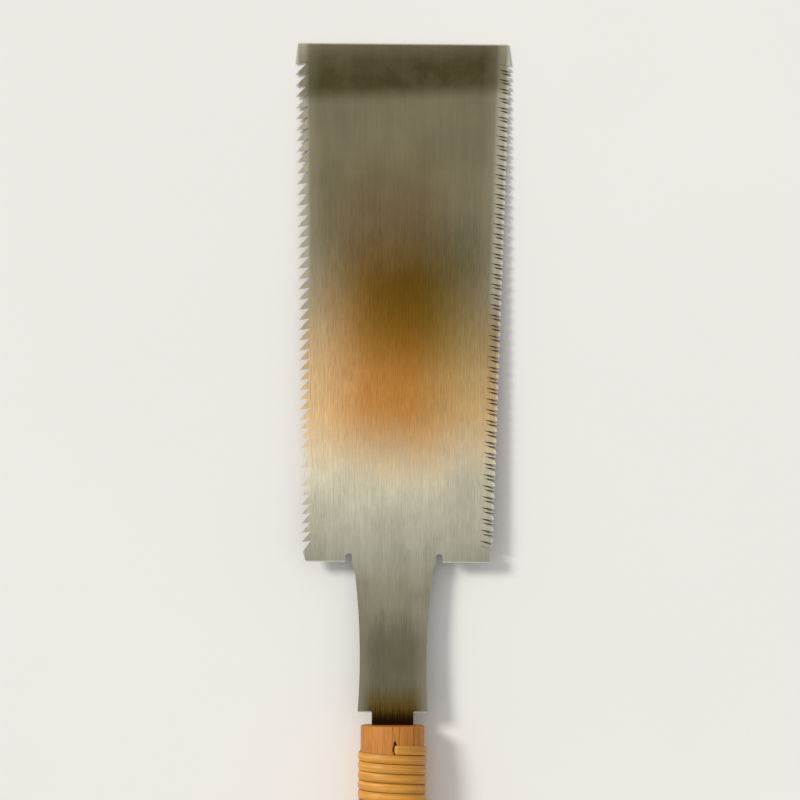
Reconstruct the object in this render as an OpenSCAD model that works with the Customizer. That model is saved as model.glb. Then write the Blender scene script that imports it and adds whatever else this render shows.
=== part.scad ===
// Double-edged pull saw. A flat steel blade has rip teeth on one edge and crosscut teeth on the
// other. Its tang lies between two glued wooden handle halves that a rattan strip binds.
// The origin is the middle of the handle. +Y runs to the toe, +X to the crosscut edge, and +Z
// out of the blade's upper face.

/* [Plate] */
// Length of the plate from heel to toe
blade_length = 240; // [200:1:300]
// Thickness of the steel
plate_t = 0.7; // [0.5:0.05:1.2]
// From the axis to the rip edge, at the toe end of its teeth
rip_reach_toe = 47.5; // [40:0.1:60]
// From the axis to the rip edge, at the heel end of its teeth
rip_reach_heel = 42.5; // [36:0.1:55]
// From the axis to the crosscut edge, at the toe end of its teeth
crosscut_reach_toe = 52; // [42:0.1:64]
// From the axis to the crosscut edge, at the heel end of its teeth
crosscut_reach_heel = 45.5; // [38:0.1:58]
// Length of the plain corners at the toe
toe_plain = 9.8; // [4:0.1:20]
// How far the toe corners are drawn in
toe_draw = 1.2; // [0:0.1:4]
// Length of the plain corners at the heel
heel_plain = 4.6; // [2:0.1:10]
// How far the heel corners lie behind the line of the tips
heel_relief = 0.5; // [0:0.1:2]
// How far the heel is drawn in from the line of the tips
heel_draw = 1.9; // [0:0.1:4]

/* [Rip teeth] */
// Pitch at the toe
rip_pitch_toe = 5.2; // [4:0.05:7]
// Pitch at the heel
rip_pitch_heel = 4.2; // [3:0.05:6]
// Depth of the gullets at the toe
rip_depth_toe = 5.9; // [3:0.1:7]
// Depth of the gullets at the heel
rip_depth_heel = 4.3; // [3:0.1:7]
// Hook of the cutting faces, which look to the handle, in degrees
rip_hook = 9; // [0:1:15]
// Width of the land on each tip
rip_tip = 0.25; // [0.1:0.05:0.5]
// Sideways set of each tip
rip_set = 0.2; // [0.05:0.05:0.4]

/* [Crosscut teeth] */
// Pitch at the toe
crosscut_pitch_toe = 2.15; // [1.9:0.01:3.5]
// Pitch at the heel
crosscut_pitch_heel = 2.6; // [1.9:0.01:3.5]
// Depth of the gullets at the toe
crosscut_depth_toe = 5; // [3:0.1:7]
// Depth of the gullets at the heel
crosscut_depth_heel = 5.9; // [3:0.1:7]
// Hook of the cutting faces, in degrees
crosscut_hook = 5; // [0:1:12]
// Length of the third bevel, across each tip
crosscut_tip = 1.1; // [1:0.05:1.5]
// Fall of the third bevel along the tip
crosscut_tip_fall = 0.4; // [0.1:0.05:0.8]
// Fall of the third bevel through the plate
crosscut_tip_relief = 0.3; // [0:0.05:0.6]
// Bevel filed on the sides of each tooth, in degrees
crosscut_bevel = 45; // [0:1:48]
// How much deeper the gullets are at one face of the plate than at the other
crosscut_slope = 1; // [0:0.1:1.4]
// Sideways set of each tip
crosscut_set = 0.15; // [0.05:0.05:0.4]

/* [Neck and tang] */
// Length of the neck from the heel to the shoulders
neck_length = 69; // [50:1:100]
// Width of the neck at its waist
neck_waist = 30.6; // [24:0.2:38]
// Radius of the neck's hollow sides
neck_curve = 327; // [250:1:600]
// From the heel to the waist
waist_drop = 46; // [30:1:60]
// Height of the flare where the neck runs into the heel notches
neck_flare = 4.6; // [1:0.1:8]
// From the axis to the middle of each heel notch
notch_reach = 20.9; // [20:0.1:26]
// Width of the heel notches
notch_w = 3.1; // [1.5:0.1:5]
// Depth of the heel notches
notch_depth = 3.9; // [2:0.1:8]
// Width of the tang
tang_w = 19.1; // [12:0.1:22]
// Tang showing between the shoulders and the handle
tang_bare = 5.8; // [2:0.1:15]
// Tang inside the handle
tang_hidden = 95; // [60:1:130]
// Width of the tang's far end
tang_end_w = 9; // [5:0.5:12]
// Clearance round the tang in its pocket
tang_fit = 0.05; // [0.02:0.01:0.2]

/* [Handle] */
// Length of the handle
handle_length = 300; // [240:1:360]
// Width of the handle at its mouth
mouth_w = 29.3; // [26:0.1:36]
// Thickness of the handle at its mouth
mouth_t = 24; // [21:0.1:30]
// Width of the handle at its butt
butt_w = 33; // [26:0.1:40]
// Thickness of the handle at its butt
butt_t = 27; // [21:0.1:34]
// Chamfer round the mouth
mouth_chamfer = 0.7; // [0.2:0.1:2]
// Radius round the butt
butt_radius = 5; // [1:0.5:8]

/* [Rattan] */
// Bare wood between the mouth and the rattan
wrap_bare = 8.8; // [6:0.1:30]
// Turns of the rattan
wrap_turns = 24; // [4:1:24]
// Pitch of the turns
wrap_pitch = 4.37; // [4.35:0.01:6]
// Width of the strip
strip_w = 3.9; // [2.5:0.05:3.9]
// Thickness of the strip
strip_t = 0.9; // [0.8:0.05:1.6]
// Clearance under the strip
strip_fit = 0.2; // [0.2:0.05:0.4]
// Inner radius of the bends into the slits
strip_bend = 0.5; // [0.4:0.05:0.5]
// Strip hidden in each slit
strip_tuck = 4; // [3:0.1:5]
// Angle of the strip's ends from the top of the handle, in degrees
strip_end_angle = 10; // [4:1:15]
// Length of the slits
slit_length = 6.5; // [4.5:0.1:8]

/* [Hidden] */

steel_colour = [0.70, 0.67, 0.61];
wood_colour = [0.80, 0.60, 0.38];
rattan_colour = [0.83, 0.58, 0.26];

y_mouth = handle_length / 2;
y_shoulder = y_mouth + tang_bare;
y_heel = y_shoulder + neck_length;
y_toe = y_heel + blade_length;
y_tang_end = y_mouth - tang_hidden;
y_wrap = y_mouth - wrap_bare - strip_w / 2;

// Laps of the solids that make up the blade
row_lap = 3;
row_lead = 1;
outline_lap = 2;
// Sides of the true arcs, and of the half ovals of the handle
arc_sides = 240;
oval_sides = 30;
handle_stations = 14;
butt_stations = 5;
// Rings of the rattan to a turn, and to a bend
turn_rings = 24;
bend_rings = 4;

// One row of teeth, from the toe to the heel, as a list of its sizes
function row_start(r) = r[0];
function row_end(r) = r[1];
function row_pitch_toe(r) = r[2];
function row_pitch_heel(r) = r[3];
function row_depth_toe(r) = r[4];
function row_depth_heel(r) = r[5];
function row_hook(r) = r[6];
function row_tip(r) = r[7];
function row_tip_fall(r) = r[8];
function row_tip_relief(r) = r[9];
function row_bevel(r) = r[10];
function row_slope(r) = r[11];
function row_set(r) = r[12];
rip_row = [
    [-rip_reach_toe, y_toe - toe_plain], [-rip_reach_heel, y_heel + heel_plain],
    rip_pitch_toe, rip_pitch_heel, rip_depth_toe, rip_depth_heel, rip_hook,
    rip_tip, 0, 0, 0, 0, rip_set
];
crosscut_row = [
    [crosscut_reach_toe, y_toe - toe_plain], [crosscut_reach_heel, y_heel + heel_plain],
    crosscut_pitch_toe, crosscut_pitch_heel, crosscut_depth_toe, crosscut_depth_heel, crosscut_hook,
    crosscut_tip, crosscut_tip_fall, crosscut_tip_relief, crosscut_bevel, crosscut_slope, crosscut_set
];

function lerp(a, b, t) = a + (b - a) * t;
function quad(a, b, c, d) = [[a, b, c], [a, c, d]];
function flip(faces) = [for (f = faces) [f[2], f[1], f[0]]];

// Plan of a row: u runs along the edge to the heel, d runs in from the edge
function row_length(r) = norm(row_end(r) - row_start(r));
function row_dir(r) = (row_end(r) - row_start(r)) / row_length(r);
function row_side(r) = sign(row_start(r).x);
function row_in(r) = row_side(r) * [row_dir(r).y, -row_dir(r).x];
function row_at(r, u, d) = row_start(r) + u * row_dir(r) + d * row_in(r);

// The pitch changes evenly from the toe to the heel, and a whole number of gullets fills the row
function row_gullets(r) = round(2 * row_length(r) / (row_pitch_toe(r) + row_pitch_heel(r)));
function row_run(r, i) =
    let (growth = (row_pitch_heel(r) - row_pitch_toe(r)) / (row_gullets(r) - 1))
    i * row_pitch_toe(r) + growth * i * (i - 1) / 2;
function row_share(r, i) = row_run(r, i) / row_run(r, row_gullets(r));
function tip_u(r, i) = row_length(r) * row_share(r, i);
function gullet_d(r, i) = lerp(row_depth_toe(r), row_depth_heel(r), row_share(r, i));
function gullet_u(r, i) = tip_u(r, i) - gullet_d(r, i) * tan(row_hook(r));

// The first tooth leans up, the next one down, and so on
function row_lean(i) = i % 2 == 1 ? 1 : -1;

// Each gullet is filed askew and aslope through the plate, the other way from its neighbours.
// The end ones, in the plain corners, are square.
function gullet_way(r, i) = i == 0 || i == row_gullets(r) - 1 ? 0 : row_lean(i);
function gullet_skew(r, i) = gullet_way(r, i) * plate_t / 2 * tan(row_bevel(r));
function gullet_slope(r, i) = gullet_way(r, i) * row_slope(r) / 2;
function gullet_points(r, i) =
    let (
        d = gullet_d(r, i),
        u = gullet_u(r, i),
        lead = i == 0 ? -row_lead : i == row_gullets(r) - 1 ? row_lead : 0
    )
    [
        for (k = [1, -1])
            concat(row_at(r, u + k * gullet_skew(r, i), d + k * gullet_slope(r, i)), k * plate_t / 2),
        for (k = [1, -1]) concat(row_at(r, u + lead, d + row_lap), k * plate_t / 2)
    ];

// A tooth leans to its wide side, and its third bevel falls to the narrow one
function tooth_points(r, i) =
    let (lean = row_lean(i))
    [
        for (k = [1, -1])
            let (
                relief = k == lean ? 0 : row_tip_relief(r),
                tip_d = relief,
                tip_at = tip_u(r, i) - relief * tan(row_hook(r)) + k * gullet_skew(r, i),
                land_d = row_tip_fall(r) + relief,
                land_u = tip_u(r, i) - row_tip(r),
                back = (land_u - gullet_u(r, i - 1)) / (gullet_d(r, i - 1) - row_tip_fall(r)),
                land_at = land_u - relief * back + k * gullet_skew(r, i - 1)
            )
            each [
                for (p = [[land_at, land_d], [tip_at, tip_d]])
                    concat(
                        row_at(r, p[0], p[1]),
                        k * plate_t / 2 + lean * row_set(r) * (1 - p[1] / gullet_d(r, i))
                    )
            ]
    ];

// The teeth of one edge, with a strip behind them that laps into the plate
module tooth_row(r) {
    n = row_gullets(r);
    points = concat(
        [for (i = [0 : n - 1]) each gullet_points(r, i)],
        [for (i = [1 : n - 1]) each tooth_points(r, i)]
    );
    last = 4 * (n - 1);
    faces = concat(
        quad(0, 2, 3, 1),
        quad(last, last + 1, last + 3, last + 2),
        [
            for (i = [1 : n - 1])
                let (b = 4 * (i - 1), f = 4 * i, t = 4 * n + 4 * (i - 1))
                each concat(
                    quad(b, t, t + 1, f),
                    quad(f + 1, t + 3, t + 2, b + 1),
                    quad(b, b + 1, t + 2, t),
                    quad(t, t + 2, t + 3, t + 1),
                    quad(t + 1, t + 3, f + 1, f),
                    quad(b, f, f + 2, b + 2),
                    quad(b + 1, b + 3, f + 3, f + 1),
                    quad(b + 2, f + 2, f + 3, b + 3)
                )
        ]
    );
    polyhedron(points, row_side(r) > 0 ? faces : flip(faces));
}

// One edge of the plate from the toe to the heel, cut back behind the teeth
function edge_outline(r) =
    let (n = row_gullets(r), side = row_side(r))
    [
        row_start(r) + [-side * toe_draw, toe_plain],
        row_start(r),
        row_at(r, gullet_u(r, 0), gullet_d(r, 0)),
        row_at(r, gullet_u(r, 0) + row_lead, gullet_d(r, 0) + row_lap / 2),
        row_at(r, gullet_u(r, n - 1) - row_lead, gullet_d(r, n - 1) + row_lap / 2),
        row_at(r, gullet_u(r, n - 1), gullet_d(r, n - 1)),
        row_end(r) + [-side * heel_relief, 0],
        row_end(r) + [-side * heel_draw, -heel_plain]
    ];

function neck_half(drop) =
    neck_waist / 2 + neck_curve - sqrt(pow(neck_curve, 2) - pow(drop - waist_drop, 2));

module heel_notch() {
    translate([notch_reach, y_heel + notch_depth - notch_w / 2])
        circle(d = notch_w, $fn = arc_sides);
    translate([notch_reach - notch_w / 2, y_heel - neck_flare])
        square([notch_w, neck_flare + notch_depth - notch_w / 2]);
}

module neck_outline() {
    difference() {
        translate([-neck_half(0), y_shoulder])
            square([2 * neck_half(0), neck_length + outline_lap]);
        for (side = [-1, 1])
            translate([side * (neck_waist / 2 + neck_curve), y_heel - waist_drop])
                circle(neck_curve, $fn = arc_sides);
    }
    flare_half = notch_reach - notch_w / 2;
    polygon([
        [-flare_half, y_heel], [-neck_half(neck_flare), y_heel - neck_flare],
        [neck_half(neck_flare), y_heel - neck_flare], [flare_half, y_heel],
        [flare_half, y_heel + outline_lap], [-flare_half, y_heel + outline_lap]
    ]);
}

// The tang runs straight into the mouth and then tapers
module tang_outline(fit = 0) {
    half = tang_w / 2 + fit;
    end_half = tang_end_w / 2 + fit;
    polygon([
        [-half, y_shoulder + outline_lap], [half, y_shoulder + outline_lap],
        [half, y_mouth - tang_w], [end_half, y_tang_end - fit],
        [-end_half, y_tang_end - fit], [-half, y_mouth - tang_w]
    ]);
}

module plate_outline() {
    rip_edge = edge_outline(rip_row);
    crosscut_edge = edge_outline(crosscut_row);
    difference() {
        polygon(concat(rip_edge, [for (i = [len(crosscut_edge) - 1 : -1 : 0]) crosscut_edge[i]]));
        heel_notch();
        mirror([1, 0]) heel_notch();
    }
    neck_outline();
    tang_outline();
}

module blade() {
    color(steel_colour) {
        linear_extrude(plate_t, center = true) plate_outline();
        tooth_row(rip_row);
        tooth_row(crosscut_row);
    }
}

// Half width and half thickness of the handle, at a distance from its mouth. It is even at the
// mouth and swells to the butt.
function handle_swell(s) = pow(s / handle_length, 2);
function handle_half(s) = [
    lerp(mouth_w, butt_w, handle_swell(s)) / 2,
    lerp(mouth_t, butt_t, handle_swell(s)) / 2
];

// The handle's stations: distance from the mouth, and how far the oval is drawn in there
function stations() = concat(
    [[0, mouth_chamfer]],
    [
        for (i = [0 : handle_stations])
            [lerp(mouth_chamfer, handle_length - butt_radius, i / handle_stations), 0]
    ],
    [
        for (i = [1 : butt_stations])
            let (a = 90 * i / butt_stations)
            [handle_length - butt_radius * (1 - sin(a)), butt_radius * (1 - cos(a))]
    ]
);

// A half oval at each station, from the glue face up and over, lofted into one solid
module handle_half_solid() {
    list = stations();
    per = oval_sides + 1;
    points = [
        for (st = list)
            let (half = handle_half(st[0]) - [st[1], st[1]])
            for (j = [0 : oval_sides])
                let (a = 180 * j / oval_sides)
                [half[0] * cos(a), y_mouth - st[0], half[1] * (j == oval_sides ? 0 : sin(a))]
    ];
    end = per * (len(list) - 1);
    faces = concat(
        [for (j = [1 : oval_sides - 1]) [0, j, j + 1]],
        [for (j = [1 : oval_sides - 1]) [end, end + j + 1, end + j]],
        [
            for (i = [0 : len(list) - 2])
                for (j = [0 : oval_sides])
                    let (a = per * i + j, b = per * i + (j + 1) % per)
                    each quad(a, a + per, b + per, b)
        ]
    );
    polyhedron(points, faces);
}

// A half of the handle with its half of the tang's pocket
module pocketed_half() {
    difference() {
        handle_half_solid();
        translate([0, 0, -plate_t / 2 - tang_fit])
            linear_extrude(plate_t + 2 * tang_fit) tang_outline(tang_fit);
    }
}

// The rattan winds from the mouth to the butt, left-handed, from just right of the top
// to just left of it
wrap_steps = wrap_turns * turn_rings;
wrap_sweep = 360 * wrap_turns - 2 * strip_end_angle;
function wrap_angle(k) = 90 - strip_end_angle - wrap_sweep * k / wrap_steps;
function wrap_y(k) = y_wrap - wrap_pitch * wrap_sweep / 360 * k / wrap_steps;

// A frame on the strip's path is the middle of its inner face and the way out from the wood
function wrap_frame(k) =
    let (
        a = wrap_angle(k),
        y = wrap_y(k),
        half = handle_half(y_mouth - y),
        out = [cos(a) / half[0], 0, sin(a) / half[1]]
    )
    [
        [half[0] * cos(a), y, half[1] * sin(a)] + strip_fit * out / norm(out),
        out / norm(out)
    ];
function frame_angle(f) = atan2(f[1].z, f[1].x);
function bend_centre(f) = f[0] - strip_bend * f[1];

// Each end bends into its slit and runs straight down it. The frames run from the path inwards.
function tuck_frames(f, down) =
    let (c = bend_centre(f), n = [cos(down), 0, sin(down)])
    concat(
        [
            for (i = [1 : bend_rings])
                let (
                    a = lerp(frame_angle(f), down, i / bend_rings),
                    out = [cos(a), 0, sin(a)]
                )
                [c + strip_bend * out, out]
        ],
        [[c + strip_bend * n - [0, 0, strip_tuck], n]]
    );

function reverse(list) = [for (i = [len(list) - 1 : -1 : 0]) list[i]];
first_frame = wrap_frame(0);
last_frame = wrap_frame(wrap_steps);
wrap_frames = concat(
    reverse(tuck_frames(first_frame, 180)),
    [for (k = [0 : wrap_steps]) wrap_frame(k)],
    tuck_frames(last_frame, 0)
);

// The strip is flat below and domed above
strip_section = [
    [-strip_w / 2, 0], [strip_w / 2, 0], [strip_w / 2, strip_t / 2],
    [strip_w / 4, strip_t], [-strip_w / 4, strip_t], [-strip_w / 2, strip_t / 2]
];
function strip_ring(f) = [for (p = strip_section) f[0] + [0, p[0], 0] + p[1] * f[1]];
strip_rings = [for (f = wrap_frames) strip_ring(f)];

// The least gap between the strip and itself, on the points of rings about one turn apart
near_rings = [turn_rings - 3 : turn_rings + 3 + bend_rings];
function ring_gap(a, b) = min([for (p = a) for (q = b) norm(p - q)]);
function least_gap() = min([
    for (i = [0 : len(strip_rings) - 1])
        for (k = near_rings)
            if (i + k < len(strip_rings)) ring_gap(strip_rings[i], strip_rings[i + k])
]);

// A slit takes one end of the strip, on the side that the end bends to
module slit(f, bend_side, extra_side) {
    c = bend_centre(f);
    inner = c.x + bend_side * (strip_bend - strip_fit);
    outer = c.x + bend_side * (strip_bend + strip_t + strip_fit);
    near_end = f[0].y - extra_side * (strip_w / 2 + strip_fit);
    far_end = near_end + extra_side * slit_length;
    floor_z = c.z - strip_tuck - strip_fit;
    translate([min(inner, outer), min(near_end, far_end), floor_z])
        cube([abs(outer - inner), slit_length, f[0].z - floor_z + strip_t]);
}

module handle_upper_half() {
    color(wood_colour)
        difference() {
            pocketed_half();
            slit(first_frame, -1, 1);
            slit(last_frame, 1, -1);
        }
}

module handle_lower_half() {
    color(wood_colour) mirror([0, 0, 1]) pocketed_half();
}

module rattan_wrap() {
    echo(least_gap_of_rattan_mm = least_gap());
    sides = len(strip_section);
    end = sides * (len(strip_rings) - 1);
    faces = concat(
        [for (j = [1 : sides - 2]) [0, j, j + 1]],
        [for (j = [1 : sides - 2]) [end, end + j + 1, end + j]],
        [
            for (i = [0 : len(strip_rings) - 2])
                for (j = [0 : sides - 1])
                    let (a = sides * i + j, b = sides * i + (j + 1) % sides)
                    each quad(a, a + sides, b + sides, b)
        ]
    );
    color(rattan_colour) polyhedron([for (ring = strip_rings) each ring], faces);
}

blade();
handle_upper_half();
handle_lower_half();
rattan_wrap();
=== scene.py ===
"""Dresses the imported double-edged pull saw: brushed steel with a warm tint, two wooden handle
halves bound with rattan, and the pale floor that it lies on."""

import functools
import math

import bmesh
import bpy
from bpy.props import FloatProperty, FloatVectorProperty, IntProperty, PointerProperty
from mathutils import Matrix, Vector


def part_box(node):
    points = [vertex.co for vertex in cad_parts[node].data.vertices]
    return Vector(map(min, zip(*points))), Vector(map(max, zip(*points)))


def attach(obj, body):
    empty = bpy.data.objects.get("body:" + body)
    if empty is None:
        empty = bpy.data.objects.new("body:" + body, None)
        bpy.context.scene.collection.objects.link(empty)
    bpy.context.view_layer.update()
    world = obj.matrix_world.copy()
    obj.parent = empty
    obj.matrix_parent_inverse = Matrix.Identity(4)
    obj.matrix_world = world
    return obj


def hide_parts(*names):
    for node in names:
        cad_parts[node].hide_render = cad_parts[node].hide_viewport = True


bl_info = {
    "name": "Pull saw dresser",
    "version": (1, 0, 0),
    "blender": (4, 5, 0),
    "location": "View3D > Sidebar > Saw",
    "description": "Finishes a double-edged pull saw and sets it on a pale floor",
    "category": "Object",
}

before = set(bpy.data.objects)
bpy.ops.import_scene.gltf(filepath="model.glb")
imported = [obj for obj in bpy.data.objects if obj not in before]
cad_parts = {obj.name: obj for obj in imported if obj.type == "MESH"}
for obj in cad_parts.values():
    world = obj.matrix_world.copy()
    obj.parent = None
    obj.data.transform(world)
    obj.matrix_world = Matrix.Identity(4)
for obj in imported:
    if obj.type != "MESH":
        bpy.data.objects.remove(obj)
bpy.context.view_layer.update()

mm = 0.001

# Places along the saw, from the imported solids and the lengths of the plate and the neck
Y_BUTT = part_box("handle_upper_half")[0].y
Y_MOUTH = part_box("handle_upper_half")[1].y
Y_TANG_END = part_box("blade")[0].y
Y_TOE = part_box("blade")[1].y
HANDLE_LENGTH = Y_MOUTH - Y_BUTT
BLADE_LENGTH = 240 * mm
NECK_LENGTH = 69 * mm
Y_HEEL = Y_TOE - BLADE_LENGTH
Y_SHOULDER = Y_HEEL - NECK_LENGTH

# Slits for the ends of the rattan: how far they lie aside from the axis, run out past the binding
# and run in under it
SLIT_ASIDE = 1.1 * mm
SLIT_OUT = 2.4 * mm
SLIT_IN = 4.1 * mm


# Settings


def length(name, description, default):
    """A size in metres."""
    return FloatProperty(
        name=name, description=description, default=default, unit="LENGTH", precision=5
    )


def share(name, description, default):
    """A number from 0 to 1."""
    return FloatProperty(
        name=name, description=description, default=default, min=0, max=1, subtype="FACTOR"
    )


def level(name, description, default):
    """A number from 0 up."""
    return FloatProperty(name=name, description=description, default=default, min=0)


def angle(name, description, degrees):
    """An angle."""
    return FloatProperty(
        name=name, description=description, default=math.radians(degrees), subtype="ANGLE"
    )


def colour(name, description, default):
    """A linear colour."""
    return FloatVectorProperty(
        name=name, description=description, default=default, size=3, min=0, max=1, subtype="COLOR"
    )


class SteelSettings(bpy.types.PropertyGroup):
    """Colours and wear of the blade"""

    heel: colour("Heel", "Brushed steel at the heel", (0.385, 0.375, 0.30))
    neck: colour("Neck", "Steel of the neck", (0.26, 0.24, 0.17))
    bright: colour("Bright steel", "Steel between the heel and the tint", (0.68, 0.63, 0.465))
    straw: colour("Straw tint", "Palest warm tint, across the blade", (0.70, 0.475, 0.24))
    dull: colour("Dull steel", "Darker steel towards the toe", (0.19, 0.166, 0.10))
    bronze: colour("Bronze tint", "First warm tint, multiplied over the steel", (0.80, 0.53, 0.275))
    core: colour("Core tint", "Deepest warm tint, multiplied over the steel", (0.63, 0.63, 0.26))
    halo: colour("Halo tint", "Warm tint beside the core, multiplied over the steel", (0.98, 0.96, 0.76))
    smoke: colour("Smoke", "Darker tone low on the neck, multiplied over the steel", (0.56, 0.55, 0.49))
    toe_band: colour("Toe band", "Darkened band behind the toe", (0.067, 0.056, 0.023))
    scorch: colour("Scorch", "Neck browned beside the tang", (0.105, 0.062, 0.012))
    # Black scale, with painted shade and reflection of the handle next to the mouth
    scale: colour("Scale and shade", "Black scale on the tang, with painted shade by the handle", (0.016, 0.006, 0.002))
    ground: colour("Ground edge", "Steel ground along the teeth", (0.42, 0.395, 0.30))
    # Painted shade on the teeth's bevels, the faces that slope away from the plate
    filed: colour("Filed bevel", "Painted shade on the teeth's bevels", (0.34, 0.31, 0.25))
    # Painted highlight on the tips and along the edges
    worn: colour("Worn edge", "Painted highlight on the tips and edges", (0.78, 0.75, 0.66))
    tint_width: length("Tint width", "Half the width of the heat tint", 41 * mm)
    band_depth: length("Band depth", "From the toe to the near side of its band", 23.5 * mm)
    rip_toe: length("Rip reach at the toe", "From the axis to the rip tips", 47.5 * mm)
    rip_heel: length("Rip reach at the heel", "From the axis to the rip tips", 42.5 * mm)
    crosscut_toe: length("Crosscut reach at the toe", "From the axis to those tips", 52 * mm)
    crosscut_heel: length("Crosscut reach at the heel", "From the axis to those tips", 45.5 * mm)
    roughness: share("Roughness", "Roughness of the brushed faces", 0.3)
    line_width: length("Line width", "Width of the long brush lines", 0.45 * mm)


class WoodSettings(bpy.types.PropertyGroup):
    """Sizes and colours of the handle halves"""

    mouth_w: length("Mouth width", "Width at the mouth", 29.3 * mm)
    mouth_t: length("Mouth thickness", "Thickness at the mouth", 24 * mm)
    butt_w: length("Butt width", "Width at the butt", 33 * mm)
    butt_t: length("Butt thickness", "Thickness at the butt", 27 * mm)
    mouth_round: length("Mouth round", "Rounding of the rim at the mouth", 0.7 * mm)
    butt_round: length("Butt round", "Rounding of the rim at the butt", 5 * mm)
    seam_round: length("Seam round", "Rounding along the glued seam", 0.18 * mm)
    early: colour("Early wood", "Pale wood between the growth lines", (0.635, 0.25, 0.036))
    late: colour("Late wood", "Dark wood of the growth lines", (0.27, 0.075, 0.010))
    # Grime from hands, and painted shade by the binding
    grime: colour("Grime", "Darkening by hands, and painted shade by the binding", (0.20, 0.065, 0.010))
    ring_width: length("Ring width", "Distance between growth lines", 0.85 * mm)
    fibre_width: length("Fibre width", "Width of the fine fibres", 0.22 * mm)


class RattanSettings(bpy.types.PropertyGroup):
    """Winding and colours of the binding"""

    bare: length("Bare wood", "Wood between the mouth and the binding", 8.8 * mm)
    turns: IntProperty(name="Turns", description="Turns of the strip", default=24, min=4, max=24)
    pitch: length("Pitch", "Distance between turns", 4.37 * mm)
    cad_w: length("Laid width", "Width that the first turn is placed by", 3.9 * mm)
    strip_w: length("Strip width", "Width of the strip", 4.34 * mm)
    strip_t: length("Strip thickness", "Height of the strip over the wood", 1.08 * mm)
    skin: colour("Skin", "Golden skin of the rattan", (0.72, 0.335, 0.045))
    shade: colour("Fibre", "Darker fibres in the skin", (0.43, 0.155, 0.012))
    # Dark flecks in the cane, and painted shade at the edges of the turns
    groove: colour("Groove", "Dark flecks, and painted shade in the grooves between the turns", (0.13, 0.04, 0.008))
    knot_spacing: length("Knot spacing", "Distance between the joints of the cane", 310 * mm)
    fibre_width: length("Fibre width", "Width of the fibres", 0.3 * mm)


class StageSettings(bpy.types.PropertyGroup):
    """Floor, camera and lights"""

    floor: colour("Floor", "Pale floor", (0.87, 0.86, 0.84))
    distance: length("Camera distance", "From the camera to the blade", 1.5)
    view_width: length("View width", "Width of the blade's plane in the view", 369.3 * mm)
    view_from_heel: length("View middle", "From the heel to the middle of the view", 74.8 * mm)
    view_aside: length("View aside", "From the axis to the middle of the view", 2.2 * mm)
    roll: angle("Roll", "Turn of the picture", 0.48)
    sky: level("Sky", "Level of the surroundings overhead", 0.91)
    horizon: level("Horizon", "Level of the surroundings far off", 0.62)
    fill: share("Fill", "Share of the surroundings that lights dull surfaces", 0.72)
    left: level("Left", "Share of the light from the left", 1.1)
    right: level("Right", "Share of the light from the right", 0.93)
    key: level("Key lamp", "Strength of the far lamp on the left", 1.95)
    key_spread: angle("Key spread", "Width of the far lamp", 16)


# Shader nodes


def put(tree, kind, inputs=None, **options):
    """Adds a node. Inputs are given by name or number, as values or as other nodes' outputs."""
    made = tree.nodes.new(kind)
    for key, value in options.items():
        setattr(made, key, value)
    for key, value in (inputs or {}).items():
        if isinstance(value, bpy.types.NodeSocket):
            tree.links.new(value, made.inputs[key])
        else:
            made.inputs[key].default_value = value
    return made


def maths(tree, operation, *values):
    """The result of a sum on one or two numbers or outputs."""
    return put(tree, "ShaderNodeMath", dict(enumerate(values)), operation=operation).outputs[0]


def plus(tree, *values):
    """The sum of numbers or outputs."""
    return functools.reduce(functools.partial(maths, tree, "ADD"), values)


def minus(tree, value, taken):
    """One number or output less another."""
    return maths(tree, "SUBTRACT", value, taken)


def times(tree, *values):
    """The product of numbers or outputs. One alone stays as it is."""
    return functools.reduce(functools.partial(maths, tree, "MULTIPLY"), values)


def over(tree, value, divisor):
    """One number or output divided by another."""
    return maths(tree, "DIVIDE", value, divisor)


def most(tree, *values):
    """The greatest of numbers or outputs."""
    return functools.reduce(functools.partial(maths, tree, "MAXIMUM"), values)


def apart(tree, value, middle):
    """How far a number or output is from another, on either side."""
    return maths(tree, "ABSOLUTE", minus(tree, value, middle))


def fade(tree, value, low, high, start=0.0, end=1.0):
    """Goes smoothly from start to end as the value goes from low to high, which may be below low."""
    inputs = {"Value": value, "From Min": low, "From Max": high, "To Min": start, "To Max": end}
    if low > high:
        inputs.update({"From Min": high, "From Max": low, "To Min": end, "To Max": start})
    return put(tree, "ShaderNodeMapRange", inputs, interpolation_type="SMOOTHSTEP").outputs[0]


def tint(tree, mask, under, laid, blend_type="MIX"):
    """Lays one colour over another where the mask is. An output may stand for either colour."""
    inputs = {0: mask, 6: under, 7: laid}
    for key in (6, 7):
        if not isinstance(inputs[key], bpy.types.NodeSocket):
            inputs[key] = (*inputs[key], 1)
    return put(
        tree, "ShaderNodeMix", inputs, data_type="RGBA", blend_type=blend_type
    ).outputs[2]


def vary(tree, under, pattern, low, high, mask=1.0):
    """Multiplies a colour by low to high as a pattern goes from 0 to 1."""
    return tint(tree, mask, under, fade(tree, pattern, 0, 1, low, high), "MULTIPLY")


def split(tree, vector):
    """The X, Y and Z of a vector."""
    return put(tree, "ShaderNodeSeparateXYZ", {0: vector}).outputs


def place(tree):
    """Object coordinates, in metres of the saw's own frame."""
    return put(tree, "ShaderNodeTexCoord").outputs["Object"]


def stretched(tree, vector, scale):
    """A vector multiplied by another."""
    inputs = {0: vector, 1: scale}
    return put(tree, "ShaderNodeVectorMath", inputs, operation="MULTIPLY").outputs[0]


def noise_in(tree, vector, **inputs):
    """Noise that changes smoothly over a vector."""
    named = {"Vector": vector, "Scale": 1.0}
    named.update({key.capitalize(): value for key, value in inputs.items()})
    return put(tree, "ShaderNodeTexNoise", named).outputs[0]


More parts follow.
